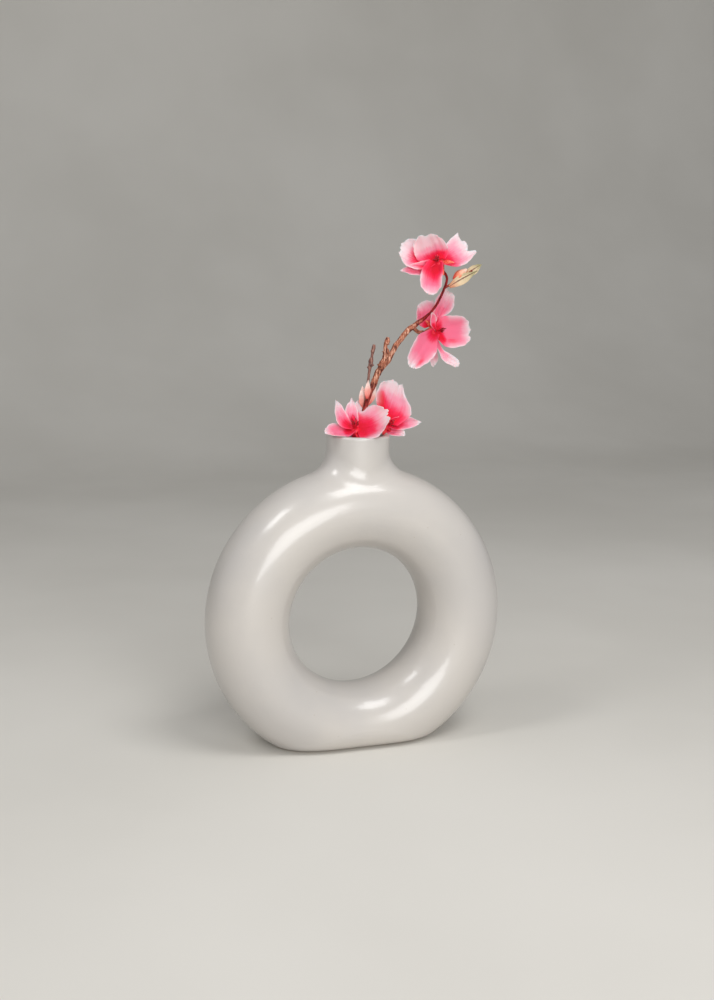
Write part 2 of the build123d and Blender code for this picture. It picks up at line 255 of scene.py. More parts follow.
def spray_point(reach_share, rise_share, depth_share=0.0):
    """A point of the spray, in shares of its reach and rise and of the ring's half depth."""
    return np.array([reach_share * REACH, depth_share * RING_HALF_DEPTH, LIP + rise_share * RISE])


def unit(vectors):
    """The same directions, each of length one."""
    return vectors / np.linalg.norm(vectors, axis=-1, keepdims=True)


def smooth_line(values, count):
    """Count points on a smooth curve through the given ones.

    Between two of them it is the cubic whose slope at each is half the way from the
    point before it to the point after it (a Catmull-Rom curve).
    """
    values = np.asarray(values, float)
    padded = np.concatenate([2 * values[:1] - values[1:2], values, 2 * values[-1:] - values[-2:-1]])
    run = np.linspace(0, len(values) - 1, count)
    first = np.minimum(run.astype(int), len(values) - 2)
    t = (run - first).reshape(-1, *[1] * (values.ndim - 1))
    a, b, c, d = (padded[first + k] for k in range(4))
    return b + t / 2 * (c - a + t * (2 * a - 5 * b + 4 * c - d + t * (3 * (b - c) + d - a)))


def rings_along(route, radii, count, sides, rough=0.0, knobs=()):
    """Rings of points square to a smooth route, as an array (ring, side, xyz).

    The radius runs smoothly through the given ones. Rough adds bark: the sines of three
    ridges that wind one way round the stem, of five that wind the other way, and of rings
    across it, all in radians per metre. A knob (share along, angle, height) adds a bump:
    a bell curve along the stem times the square of a raised cosine round it.
    """
    line = smooth_line(route, count)
    radius = smooth_line(radii, count)[:, None]
    way = unit(np.gradient(line, axis=0))
    side = unit(np.array([0, 1.0, 0]) - way * way[:, 1:2])
    other = np.cross(way, side)
    angle = np.linspace(0, 2 * np.pi, sides, endpoint=False)[None]
    run = np.concatenate([[0], np.cumsum(np.linalg.norm(np.diff(line, axis=0), axis=1))])[:, None]
    coarse = np.sin(3 * angle + COARSE_WIND * run)
    fine = 0.7 * np.sin(5 * angle - FINE_WIND * run + 1)
    rings = 0.8 * np.sin(RING_PITCH * run + np.sin(angle))
    swell = 1 + rough * (coarse + fine + rings)
    for share, turn, height in knobs:
        along = np.exp(-(((run / run[-1] - share) / KNOB_SHARE) ** 2))
        swell = swell + height * along * ((1 + np.cos(angle - turn)) / 2) ** 2
    round_way = side[:, None] * np.cos(angle)[..., None] + other[:, None] * np.sin(angle)[..., None]
    return line[:, None] + round_way * (radius * swell)[..., None]


def shut(rings):
    """Points, faces and (along, round) places of a closed skin over rings, ends fanned shut."""
    count, sides = rings.shape[:2]
    points = np.concatenate([rings.reshape(-1, 3), rings[:1].mean(axis=1), rings[-1:].mean(axis=1)])
    index = np.arange(count * sides).reshape(count, sides)
    beside = np.roll(index, -1, axis=1)
    walls = np.stack([index[:-1], beside[:-1], beside[1:], index[1:]], axis=-1).reshape(-1, 4)
    bottom = np.stack([beside[0], index[0], np.full(sides, count * sides)], axis=-1)
    top = np.stack([index[-1], beside[-1], np.full(sides, count * sides + 1)], axis=-1)
    along, around = np.arange(count) / (count - 1), np.arange(sides) / sides
    places = np.stack(np.meshgrid(along, around, indexing="ij"), axis=-1).reshape(-1, 2)
    places = np.concatenate([places, [[0, 0], [1, 0]]])
    return points, walls.tolist() + bottom.tolist() + top.tolist(), places


def build(name, shells, finish, slot, **values):
    """One object of the spray from closed shells of (points, faces, places), facing outwards.

    Places become the UV map "shape", and each further value a number on every point.
    """
    points, faces, places, start = [], [], [], 0
    for shell_points, shell_faces, shell_places in shells:
        corner = np.array([face[:3] for face in shell_faces])
        a, b, c = (shell_points[corner[:, k]] for k in range(3))
        normals = np.cross(b, c) + np.cross(a, b) + np.cross(c, a)
        inside_out = ((a - shell_points.mean(axis=0)) * normals).sum() < 0
        faces += [[start + p for p in (face[::-1] if inside_out else face)] for face in shell_faces]
        points.append(shell_points)
        places.append(shell_places)
        start += len(shell_points)
    mesh = bpy.data.meshes.new(name)
    mesh.from_pydata(np.concatenate(points).tolist(), [], faces)
    mesh.shade_smooth()
    corners = np.empty(len(mesh.loops), int)
    mesh.loops.foreach_get("vertex_index", corners)
    mesh.uv_layers.new(name="shape").data.foreach_set("uv", np.concatenate(places)[corners].ravel())
    for key, value in values.items():
        layer = mesh.attributes.new(key, "FLOAT", "POINT")
        numbers = np.broadcast_to(value, len(mesh.vertices)).astype(np.float32)
        layer.data.foreach_set("value", numbers)
    mesh.materials.append(finish)
    made = bpy.data.objects.new(name + "_look", mesh)
    bpy.context.scene.collection.objects.link(made)
    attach(made, "spray")
    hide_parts(name)


def effect(name, inputs, outputs):
    """A node group for what several materials share, and its inner input and output sockets."""
    group = bpy.data.node_groups.new(name, "ShaderNodeTree")
    for way, sockets in (("INPUT", inputs), ("OUTPUT", outputs)):
        for socket, kind in sockets.items():
            group.interface.new_socket(socket, in_out=way, socket_type="NodeSocket" + kind)
    given, result = group.nodes.new("NodeGroupInput"), group.nodes.new("NodeGroupOutput")
    return group, given.outputs, result.inputs


def on_points(tree, name):
    """A number that the piece's mesh has on every point, as a socket."""
    return node(tree, "ShaderNodeAttribute", attribute_name=name).outputs["Fac"]


LOW_BARK = [(0.36, (0.060, 0.014, 0.010)), (0.50, (0.32, 0.11, 0.062)), (0.62, (0.66, 0.37, 0.26))]
HIGH_BARK = [(0.3, (0.060, 0.001, 0.002)), (0.55, (0.22, 0.005, 0.007)), (0.75, (0.42, 0.03, 0.02))]
DRAWN_OUT = (1.0, 1.0, 0.25)
BARK_PATCH = (0.42, 0.13, 0.07)
OLD_BARK = (0.13, 0.085, 0.080)
bark_group, given, result = effect(
    "bark", {"Vector": "Vector", "Tip": "Float"}, {"Colour": "Color", "Height": "Float"}
)
drawn_out = node(bark_group, "ShaderNodeMapping", {"Vector": given["Vector"], "Scale": DRAWN_OUT})
grain = noise(bark_group, drawn_out.outputs["Vector"], 900.0, 5.0)
patches = noise(bark_group, given["Vector"], 260.0)
patched = math(bark_group, "MULTIPLY", math(bark_group, "GREATER_THAN", patches, 0.56), 0.5)
blotched = mix(bark_group, patched, ramp(bark_group, grain, LOW_BARK), BARK_PATCH)
rind_colour = mix(bark_group, given["Tip"], blotched, ramp(bark_group, grain, HIGH_BARK))
bark_group.links.new(rind_colour, result["Colour"])
bark_group.links.new(math(bark_group, "MULTIPLY_ADD", patches, 0.7, grain), result["Height"])

bark, tree, shader = material("bark_plastic")
rind = node(tree, "ShaderNodeGroup", node_tree=bark_group)
tree.links.new(object_place(tree), rind.inputs["Vector"])
tree.links.new(on_points(tree, "red"), rind.inputs["Tip"])
aged = math(tree, "MULTIPLY", on_points(tree, "grey"), 0.75)
tree.links.new(mix(tree, aged, rind.outputs["Colour"], OLD_BARK), shader.inputs["Base Color"])
shader.inputs["Roughness"].default_value = 0.6
shader.inputs["Specular IOR Level"].default_value = 0.2
relief(tree, shader, rind.outputs["Height"], 0.6, 0.0004)

STEM_END = 0.1352
STEM_SHARES = (1, 0.55, 0.2)
TIP_RED_FROM = 0.58
TIP_RED_OVER = 0.14
FOOT_RED = 0.9
FOOT_RED_TO = 0.34
FOOT_RED_OVER = 0.10
BRANCH_ROUTE = [
    (0.00, 0.00, 0.80), (0.04, 0.10, 0.70), (0.08, 0.17, 0.70), (0.13, 0.25, 0.80),
    (0.18, 0.33, 0.95), (0.235, 0.385, 0.95), (0.315, 0.44, 0.85), (0.405, 0.52, 0.80),
    (0.505, 0.60, 0.76), (0.635, 0.66, 0.82), (0.77, 0.715, 0.45), (0.87, 0.78, 0.42),
    (0.95, 0.87, 0.42), (0.985, 0.94, 0.42),
]
BRANCH_KNOBS = [
    (0.33, 1.0, 0.5), (0.42, 3.6, 0.45), (0.475, 0.5, 0.55), (0.52, 4.4, 0.5), (0.565, 2.2, 0.4),
    (0.61, 5.2, 0.45), (0.66, 1.2, 0.45), (0.70, 3.4, 0.6), (0.73, 0.4, 0.5), (0.80, 2.6, 0.35),
]
BLOSSOM_SEATS = {
    "top": (spray_point(0.887, 1.03), (-0.6, -0.45, 0.65)),
    "middle": (spray_point(0.874, 0.62, 0.17), (0.45, -0.88, 0.12)),
    "rim_left": (spray_point(-0.08, 0.028, -0.28), (-0.1, -0.35, 0.93)),
    "rim_right": (spray_point(0.30, 0.053, -0.07), (0.25, -0.8, 0.45)),
}


def stalk_end(blossom):
    """The last two points of a stalk: just behind the calyx, and in its socket."""
    seat, facing = BLOSSOM_SEATS[blossom]
    facing = unit(np.array(facing))
    behind = CALYX_LENGTH + 2 * STALK_RADIUS
    return [seat - facing * behind, seat - facing * (CALYX_LENGTH - SOCKET_DEPTH + SEAT)]


route = [np.array([0, 0, LIP - share * (LIP - STEM_END)]) for share in STEM_SHARES]
route += [spray_point(reach, rise) for reach, rise, _ in BRANCH_ROUTE] + stalk_end("top")
radii = [BRANCH_RADIUS] * len(STEM_SHARES)
radii += [share * BRANCH_RADIUS for _, _, share in BRANCH_ROUTE] + [STALK_RADIUS] * 2
branch_shell = shut(rings_along(route, radii, 360, 24, rough=0.045, knobs=BRANCH_KNOBS))
branch_x, _, branch_z = branch_shell[0].T
red_tip = np.clip((branch_x / REACH - TIP_RED_FROM) / TIP_RED_OVER, 0, 1)
foot_share = np.clip((LIP + FOOT_RED_TO * RISE - branch_z) / (FOOT_RED_OVER * RISE), 0, 1)
red_foot = FOOT_RED * foot_share
build("main_branch", [branch_shell], bark, "bark", red=np.maximum(red_tip, red_foot))

# Side twigs: three short twigs of the same plastic with swollen knots, one of them a spur of
# closed buds. Each is moulded by itself, set against the branch and glued.
TWIG_RADIUS = 0.0015
SIDE_TWIG = [
    (0.06, 0.13, 0.00, 0.6), (0.085, 0.21, 0.03, 0.55), (0.105, 0.29, 0.04, 0.55),
    (0.128, 0.385, 0.05, 0.6), (0.143, 0.44, 0.05, 1.0), (0.152, 0.47, 0.05, 0.55),
    (0.170, 0.52, 0.05, 0.8), (0.172, 0.54, 0.05, 0.5),
]
SIDE_TWIG_KNOBS = [(0.66, 0.4, 1.1), (0.70, 3.5, 1.0), (0.9, 2.0, 0.5)]
BUD_SPUR = [
    (0.215, 0.355, -0.03, 0.8), (0.245, 0.42, -0.06, 1.35), (0.272, 0.455, -0.07, 1.0),
    (0.292, 0.495, -0.07, 1.4), (0.282, 0.53, -0.07, 0.8), (0.30, 0.562, -0.07, 1.15),
    (0.31, 0.585, -0.07, 0.6),
]
BUD_SPUR_KNOBS = [(0.25, 1.0, 0.5), (0.45, 4.0, 0.5), (0.62, 0.5, 0.6), (0.84, 3.2, 0.6)]
BUD_TWIG = [
    (0.965, 0.885, 0.00, 0.5), (1.08, 0.92, -0.02, 0.45), (1.20, 0.96, -0.03, 0.45),
    (1.27, 0.99, -0.03, 0.4),
]
BUD_TWIG_KNOBS = [(0.3, 1.0, 0.4), (0.6, 4.0, 0.4)]
for name, rows, redness, greyness, knobs in (
    ("side_twig", SIDE_TWIG, 0.25, 0.8, SIDE_TWIG_KNOBS),
    ("bud_spur", BUD_SPUR, 0.0, 0.0, BUD_SPUR_KNOBS),
    ("bud_twig", BUD_TWIG, 0.9, 0.0, BUD_TWIG_KNOBS),
):
    route = [spray_point(*row[:3]) for row in rows]
    radii = [row[3] * TWIG_RADIUS for row in rows]
    twig = rings_along(route, radii, 90, 20, rough=0.05, knobs=knobs)
    build(name, [shut(twig)], bark, "bark", red=redness, grey=greyness)

# Blossom stalks: three short stalks of the same plastic, thicker where they leave the
# branch. They are glued there, and their far ends are pushed into the calyxes' sockets.
STALKS = {
    "middle": [(0.60, 0.645, 0), (0.68, 0.615, 0.08), (0.76, 0.615, 0.22)],
    "rim_left": [(0, -0.14, 0), (-0.03, -0.08, -0.08)],
    "rim_right": [(0.03, 0.08, 0.01), (0.12, 0.04, 0.12), (0.2, 0.02, 0.18)],
}
for blossom, rows in STALKS.items():
    route = [spray_point(*row) for row in rows] + stalk_end(blossom)
    radii = [1.5 * STALK_RADIUS, 1.3 * STALK_RADIUS] + [STALK_RADIUS] * (len(route) - 2)
    stalk = rings_along(route, radii, 60, 16, rough=0.04, knobs=[(0.3, 1.0, 0.3)])
    build(blossom + "_stalk", [shut(stalk)], bark, "bark", red=0.1)

# Calyxes: soft plastic cups, coral orange, with five pointed sepals each. A cup is pushed on
# to its stalk, the petals are glued round it, and the sepals lie behind them.
CALYX_RADIUS = 0.0032
CALYX_PROFILE = [
    (-1.0, 0.44), (-0.85, 0.50), (-0.45, 0.80), (-0.1, 0.98), (0.12, 0.97), (0.30, 0.72),
    (0.33, 0.50),
]
MOUTH_STARTS = 0.15 * CALYX_LENGTH
CORAL = [(0.3, (0.50, 0.030, 0.020)), (0.55, (0.82, 0.13, 0.075)), (0.75, (0.88, 0.30, 0.17))]
THROAT_RED = (0.74, 0.006, 0.030)
calyx_finish, tree, shader = material("calyx_plastic")
streaks = noise(tree, object_place(tree), 700.0, 3.0)
calyx_colour = mix(tree, on_points(tree, "throat"), ramp(tree, streaks, CORAL), THROAT_RED)
tree.links.new(calyx_colour, shader.inputs["Base Color"])
shader.inputs["Roughness"].default_value = 0.5
relief(tree, shader, streaks, 0.4, 0.0003)


def blossom_axes(blossom):
    """A blossom's seat and its three directions: out of its face, and two square to that."""
    seat, facing = BLOSSOM_SEATS[blossom]
    facing = unit(np.array(facing))
    first = unit(np.array([0, 0, 1.0]) - facing * facing[2])
    return seat, facing, first, np.cross(facing, first)


def turned(blossom, profile, sides, count, lobes=0, depth=0.0):
    """Rings of a body turned about a blossom's axis through (height, radius) points.

    Its radius swells by depth times a cosine of lobes waves round it.
    """
    seat, facing, first, second = blossom_axes(blossom)
    line = smooth_line(profile, count)
    angle = np.linspace(0, 2 * np.pi, sides, endpoint=False)
    radius = line[:, 1, None] * (1 + depth * np.cos(lobes * angle))[None]
    around = first * np.cos(angle)[:, None] + second * np.sin(angle)[:, None]
    return seat + facing * line[:, 0, None, None] + around[None] * radius[..., None]


SEPAL_LENGTH = {"top": 0.0068, "middle": 0.0056, "rim_left": 0.0050, "rim_right": 0.0034}
SEPAL_HALF = 0.0016
SEPAL_POINT = 0.00004
SEPAL_ROOT = 0.86 * CALYX_RADIUS
SEPAL_SET_BACK = 0.0006
SEPAL_CURL = 0.0022
SEPAL_RED = {"top": 0.15, "middle": 0.0, "rim_left": 0.95, "rim_right": 0.85}


def sepal(blossom, turn):
    """Rings of one pointed sepal that leaves the calyx's side and curves back from the petals.

    It curves back with the square of the way along. Each ring is a flat ellipse with its
    sides raised, and its half width is a power of a sine of the way along.
    """
    seat, facing, first, second = blossom_axes(blossom)
    out = first * np.cos(turn) + second * np.sin(turn)
    beside = np.cross(facing, out)
    share = np.linspace(0, 1, 22)
    way_out = SEPAL_ROOT + SEPAL_LENGTH[blossom] * share[:, None]
    way_back = SEPAL_SET_BACK + SEPAL_CURL * share[:, None] ** 2
    line = seat + out * way_out - facing * way_back
    half = SEPAL_HALF * np.sin(np.pi * (0.22 + 0.78 * share)) ** 0.8 + SEPAL_POINT
    angle = np.linspace(0, 2 * np.pi, 14, endpoint=False)
    wide = beside * np.cos(angle)[:, None]
    thick = facing * (0.22 * np.sin(angle) + 0.25 * np.cos(angle) ** 2)[:, None]
    return line[:, None] + (wide + thick)[None] * half[:, None, None]


for number, blossom in enumerate(BLOSSOM_SEATS):
    seat, facing, _, _ = blossom_axes(blossom)
    profile = [(height * CALYX_LENGTH, radius * CALYX_RADIUS) for height, radius in CALYX_PROFILE]
    cup = shut(turned(blossom, profile, 40, 30, 5, 0.05))
    sepals = [shut(sepal(blossom, 2 * np.pi * k / 5 + 0.5 * number)) for k in range(5)]
    in_mouth = (cup[0] - seat) @ facing > MOUTH_STARTS
    throat = np.append(in_mouth, np.zeros(sum(len(shell[0]) for shell in sepals)))
    throat = np.maximum(throat, SEPAL_RED[blossom])
    build(blossom + "_calyx", [cup] + sepals, calyx_finish, "calyx", throat=throat)

# Stamens: a tuft of fine moulded threads in each blossom, each with a darker knob at its
# end. The tuft's foot is pushed into the mouth of the calyx.
STAMEN_BASE = 0.00096
STAMEN_MOUTH = 0.35 * CALYX_LENGTH
STAMEN_DEPTH = 0.0012
STAMEN_LENGTH = 0.0090
STAMEN_THREAD = 0.00021
STAMEN_DOME = 0.0001
STAMEN_COUNT = 9
GOLDEN_ANGLE = 2.4
STAMEN_PROFILE = [1.0, 0.85, 0.8, 0.75, 0.7, 0.8, 1.9, 2.2, 1.0]
STAMEN_REACH = {
    "top": (0.45, 0.8), "middle": (1.0, 0.5), "rim_left": (0.75, 1.0), "rim_right": (0.75, 1.0),
}
STAMEN_REDS = [(0.0, (0.72, 0.01, 0.03)), (0.72, (0.52, 0.008, 0.02)), (0.86, (0.28, 0.006, 0.012))]


def shape_places(tree):
    """How far along and how far across its own shape a point is, as two sockets."""
    places = node(tree, "ShaderNodeUVMap", uv_map="shape").outputs["UV"]
    return node(tree, "ShaderNodeSeparateXYZ", {"Vector": places}).outputs[:2]


stamen_finish, tree, shader = material("stamen_plastic")
along_thread, _ = shape_places(tree)
tree.links.new(ramp(tree, along_thread, STAMEN_REDS), shader.inputs["Base Color"])
shader.inputs["Roughness"].default_value = 0.3

# The threads stand a golden angle apart round the blossom's axis. Each leans out by the
# sum of the way along it and the square of that, and outer ones lean more.
for number, blossom in enumerate(BLOSSOM_SEATS):
    seat, facing, first, second = blossom_axes(blossom)
    tall, splay = STAMEN_REACH[blossom]
    foot = seat + facing * (STAMEN_MOUTH - STAMEN_DEPTH)
    base = [
        (STAMEN_MOUTH - STAMEN_DEPTH, STAMEN_BASE), (STAMEN_MOUTH - STAMEN_DEPTH / 2, STAMEN_BASE),
        (STAMEN_MOUTH + STAMEN_DOME, 0.6 * STAMEN_BASE),
    ]
    threads = [shut(turned(blossom, base, 12, 6))]
    for index in range(STAMEN_COUNT):
        turn = GOLDEN_ANGLE * index + number
        lean = splay * (0.06 + 0.018 * index)
        shuffled = (index * 5) % STAMEN_COUNT / (STAMEN_COUNT - 1)
        thread_length = STAMEN_LENGTH * tall * (0.78 + 0.22 * shuffled)
        way = first * np.cos(turn) + second * np.sin(turn)
        share = np.linspace(0, 1, 9)[:, None]
        sideways = STAMEN_LENGTH * lean * (share + share**2)
        thread_route = foot + facing * thread_length * share + way * sideways
        thread_radii = [STAMEN_THREAD * radius for radius in STAMEN_PROFILE]
        threads.append(shut(rings_along(thread_route, thread_radii, 26, 8)))
    build(blossom + "_stamens", threads, stamen_finish, "stamens")

# Petals: polyester silk, die cut, dyed red from the claw outwards, then pressed hot into
# cups. Each is glued by its claw to the side of the calyx. Its edge is thin and ruffled.
DEEP_RED = [(0.10, (0.72, 0.003, 0.022)), (0.42, (0.88, 0.012, 0.065)), (0.80, (0.92, 0.10, 0.19))]
PINKS = [(0.0, (0.93, 0.15, 0.25)), (0.5, (0.93, 0.29, 0.38)), (1.0, (0.93, 0.50, 0.545))]
BLACK_TO_WHITE = [(0.30, (0, 0, 0)), (1.0, (1, 1, 1))]
PALE_EDGE = (0.90, 0.69, 0.70)
THREADS = 21000.0
WEAVE_DEPTH = 0.00006
PETAL_SCALE = {"top": 0.028, "middle": 0.028, "rim_left": 0.024, "rim_right": 0.028}

silk, given, result = effect(
    "silk_weave", {"Vector": "Vector", "Threads": "Float"}, {"Height": "Float"}
)
cloth_place = node(silk, "ShaderNodeSeparateXYZ", {"Vector": given["Vector"]}).outputs
warp = math(silk, "SINE", math(silk, "MULTIPLY", cloth_place["X"], given["Threads"]))
weft = math(silk, "SINE", math(silk, "MULTIPLY", cloth_place["Y"], given["Threads"]))
silk.links.new(math(silk, "MULTIPLY", warp, weft), result["Height"])


def woven(tree):
    """The height of the silk's threads in one material, as a socket."""
    weave = node(tree, "ShaderNodeGroup", node_tree=silk)
    tree.links.new(object_place(tree), weave.inputs["Vector"])
    weave.inputs["Threads"].default_value = THREADS
    return weave.outputs["Height"]


# The dye: red_left is 0 where the silk took all the red and grows along the petal, towards
# its sides and away from a crease. The deeper red in a crease is partly dye and partly
# painted shade in the fold. Fading is 0 in the full pink and 1 in the palest.
petal_finish, tree, shader = material("petal_silk")
reach, side = shape_places(tree)
bleed = noise(tree, object_place(tree), 190.0, 3.0)
vein_way = {"X": math(tree, "MULTIPLY", side, 26.0), "Y": math(tree, "MULTIPLY", reach, 1.6)}
veins = noise(tree, node(tree, "ShaderNodeCombineXYZ", vein_way).outputs["Vector"], 1.0)
uneven = math(tree, "MULTIPLY_ADD", bleed, 0.34, math(tree, "MULTIPLY_ADD", veins, 0.30, -0.32))
from_midrib = math(tree, "ABSOLUTE", math(tree, "SUBTRACT", side, 0.5))
to_sides = math(tree, "MULTIPLY", math(tree, "POWER", from_midrib, 2.0), 2.0)
from_claw = math(tree, "POWER", math(tree, "DIVIDE", reach, on_points(tree, "blush")), 1.5)
from_red = math(tree, "MINIMUM", math(tree, "ADD", from_claw, to_sides), 1.6)
# A crease deepens the red: partly dye, partly painted shade in the fold.
crease_red_and_shade = math(tree, "MULTIPLY", on_points(tree, "crease"), 1.12)
red_left = math(tree, "SUBTRACT", math(tree, "ADD", from_red, uneven), crease_red_and_shade)
past_flush = math(
    tree, "SUBTRACT", math(tree, "MULTIPLY_ADD", uneven, 0.8, reach), on_points(tree, "flush")
)
fading = math(tree, "MULTIPLY", past_flush, 2.2, clamp=True)
red_to_pink = ramp(tree, red_left, BLACK_TO_WHITE)
dye = mix(tree, red_to_pink, ramp(tree, red_left, DEEP_RED), ramp(tree, fading, PINKS))
pale = math(tree, "MULTIPLY", math(tree, "POWER", on_points(tree, "rim"), 5.0), 0.75)
tree.links.new(mix(tree, pale, dye, PALE_EDGE), shader.inputs["Base Color"])
shader.inputs["Roughness"].default_value = 0.62
shader.inputs["Specular IOR Level"].default_value = 0.15
shader.inputs["Sheen Weight"].default_value = 0.05
shader.inputs["Subsurface Weight"].default_value = 0.6
shader.inputs["Subsurface Radius"].default_value = (0.003, 0.001, 0.001)
shader.inputs["Subsurface Scale"].default_value = 1.0
relief(tree, shader, math(tree, "MULTIPLY_ADD", veins, 6.0, woven(tree)), 0.35, WEAVE_DEPTH)

CLOTH = 0.00035
NECK_WALL_MIDDLE = 0.0183
NECK_HALF_WALL = 0.0019
CREASE_ACROSS = 0.36
CREASE_ALONG = 0.40
CLAW_SHARE = 0.22
CLAW_UP = 0.37 * CALYX_LENGTH
CLAW_OUT = 0.25 * CALYX_RADIUS
NO_CLAW = -0.5


def heading(turn, front):
    """A direction: turned in degrees from +X towards +Z, then leant towards the front."""
    turn, front = np.radians(turn), np.radians(front)
    return np.array([np.cos(front) * np.cos(turn), -np.sin(front), np.cos(front) * np.sin(turn)])


def between(values, share):
    """A smooth curve through evenly spaced values, read at shares from 0 to 1."""
    fine = smooth_line(values, 200)
    return np.interp(share, np.linspace(0, 1, 200), fine)


def off_lip(points):
    """Points of cloth, with those that would be in the vase's round lip moved out to lie on it.

    The lip's section is half a circle about the middle of the neck's wall. A point that is
    nearer to it than one cloth goes straight away from its centre until it isn't.
    """
    from_axis = np.hypot(points[..., 0], points[..., 1])
    outwards = from_axis - NECK_WALL_MIDDLE
    upwards = np.maximum(points[..., 2] - (LIP - NECK_HALF_WALL), 0)
    distance = np.hypot(outwards, upwards) + 1e-9
    push = np.maximum(NECK_HALF_WALL + CLOTH - distance, 0) / distance
    moved = points[..., :2] * (1 + push * outwards / from_axis)[..., None]
    return np.concatenate([moved, (points[..., 2] + push * upwards)[..., None]], axis=-1)


def cloth_shell(
    root, along, inward, length, half_width, left, right, tip, cup, bow, sway, curl, ruffle,
    fold=0, fold_at=(0.5, 0.45), pleat=0.006, phase=0, claw=(0, 0, 0), rows=56, columns=48,
):
    """A closed thin sheet of pressed cloth, its nearness to the edge and to the fold.

    At s along and t across (-1 to 1) a point lies s * tip(t) * length along the midrib and
    t * left(s) or right(s) * half width beside it. Its height is the sum of a cup that
    grows with t squared, a bow and a sway of 4s(1 - s), a curl outwards that grows with
    the square of s past the middle, a ruffle that runs as a sine round the edge, pleats
    that run as a sine across it, and a fold, a groove that is a bell across the petal and a
    wider bell along it, with its middle at fold_at (s, t).
    The claw is an offset of its root that dies away as the square over CLAW_SHARE.
    The edge wanders a little in and out, and the cloth is thinnest there. Nearness to the
    edge is the larger of two ramps, one along to the tip and one across to the sides.
    """
    across = np.cross(along, inward)
    s, t = np.meshgrid(np.linspace(0, 1, rows), np.linspace(-1, 1, columns), indexing="ij")
    half = np.where(t < 0, between(left, s), between(right, s)) * half_width
    reach = s * between(tip, (t + 1) / 2)
    arch = 4 * s * (1 - s) * length
    edge = np.maximum(np.clip((s - 0.35) / 0.65, 0, 1), np.abs(t) * np.clip(s / 0.4, 0, 1))
    around = np.arctan2(t, s - 0.35)
    wave = np.sin(5 * around + phase) + 0.6 * np.sin(9 * around + 2.3 * phase + 1)
    lift = cup * half * t**2 - bow * arch - curl * length * np.clip((s - 0.45) / 0.55, 0, 1) ** 2
    lift = lift + ruffle * length * edge**3 * wave
    lift = lift + pleat * length * np.sin(11 * t + phase) * s * (1.2 - s) * 2
    from_fold = ((t - fold_at[1]) / CREASE_ACROSS) ** 2 + ((s - fold_at[0]) / CREASE_ALONG) ** 2
    crease = np.exp(-from_fold) * (fold > 0)
    lift = lift - fold * length * crease
    nick = 0.012 * edge**6 * (np.sin(17 * around + phase) + np.sin(29 * around + 3 * phase))
    reach = reach * (1 + nick)
    beside = t * half * (1 + nick) + sway * arch
    middle = root + along * (reach * length)[..., None] + across * beside[..., None]
    middle = middle + inward * lift[..., None]
    pulled = np.clip(1 - s / CLAW_SHARE, 0, 1) ** 2
    middle = off_lip(middle + np.array(claw) * pulled[..., None])
    normal = unit(np.cross(np.gradient(middle, axis=0), np.gradient(middle, axis=1)) + 1e-12)
    wall = (CLOTH / 2) * (1 - 0.5 * edge**4)[..., None] * normal
    points = np.concatenate([(middle + wall).reshape(-1, 3), (middle - wall).reshape(-1, 3)])
    index = np.arange(rows * columns).reshape(rows, columns)
    corners = [index[:-1, :-1], index[:-1, 1:], index[1:, 1:], index[1:, :-1]]
    front = np.stack(corners, axis=-1).reshape(-1, 4)
    outline = np.concatenate([index[0], index[1:, -1], index[-1, -2::-1], index[-2:0:-1, 0]])
    following = np.roll(outline, -1)
    back = rows * columns
    stitched = np.stack([following, outline, outline + back, following + back], axis=-1)
    faces = front.tolist() + (front[:, ::-1] + back).tolist() + stitched.tolist()
    places = np.stack([reach, (t + 1) / 2], axis=-1).reshape(-1, 2)
    shell = points, faces, np.concatenate([places, places])
    return shell, np.tile(edge.ravel(), 2), np.tile(crease.ravel(), 2)


def petal(
    blossom, name, turn, front, length, half, roll, lift_share, press, blush, flush,
    left, right, tip, seat_share=0.97,
):
    """Builds one petal: where it heads, its size, how it is pressed and dyed, and its outline.

    Its root is on the calyx's side, seat_share radii out and lift_share radii up. From
    there its claw reaches into the calyx's mouth, unless it is glued low on the outside.
    """
    seat, facing, _, _ = blossom_axes(blossom)
    along = heading(turn, front)
    out = unit(along - facing * facing.dot(along))
    root = seat + out * (seat_share * CALYX_RADIUS) + facing * (lift_share * CALYX_RADIUS)
    level = unit(facing - along * facing.dot(along))
    beside = np.cross(along, level)
    roll = np.radians(roll)
    inward = level * np.cos(roll) + beside * np.sin(roll)
    claw = (seat + facing * CLAW_UP + out * CLAW_OUT - root) * (lift_share > NO_CLAW)
    scale = PETAL_SCALE[blossom]
    shell, edge, crease = cloth_shell(
        root, along, inward, length * scale, half * scale, left, right, tip, claw=claw, **press
    )
    # Blush, flush and rim are dye; the crease mask gives the fold red, partly dye and partly
    # painted shade.
    dye_and_fold_shade = dict(blush=blush, flush=flush, rim=edge, crease=crease)
    build(f"{blossom}_petal_{name}", [shell], petal_finish, "petal", **dye_and_fold_shade)


# Each petal: turn, lean to the front, length and half width as shares of PETAL_SCALE, roll,
# lift, how it is pressed, how far the red and the pink reach, and then its outline: shares
# of the half width from claw to tip on either side, and of the length across the tip
petal("top", "back", 113, 5, 0.60, 0.49, 0, 0.4,
      dict(cup=0.22, bow=0.10, sway=0, curl=0.03, ruffle=0.012, pleat=0.022, phase=0.5), 0.40, 0.16,
      (0.55, 0.92, 0.99, 1.00, 0.98, 0.94, 0.78), (0.40, 0.56, 0.58, 0.57, 0.53, 0.46, 0.34),
      (0.88, 1.04, 0.94, 0.97, 0.93, 0.88, 0.78))
petal("top", "left", 158, -25, 0.88, 0.42, 0, 0,
      dict(cup=0.25, bow=0.10, sway=0, curl=0.04, ruffle=0.014, phase=2.0), 0.92, 0.34,
      (0.35, 0.56, 0.71, 0.82, 0.86, 0.79, 0.46), (0.30, 0.60, 0.84, 0.98, 1.00, 0.93, 0.78),
      (0.86, 0.90, 0.97, 0.95, 1.00, 0.98, 0.88))
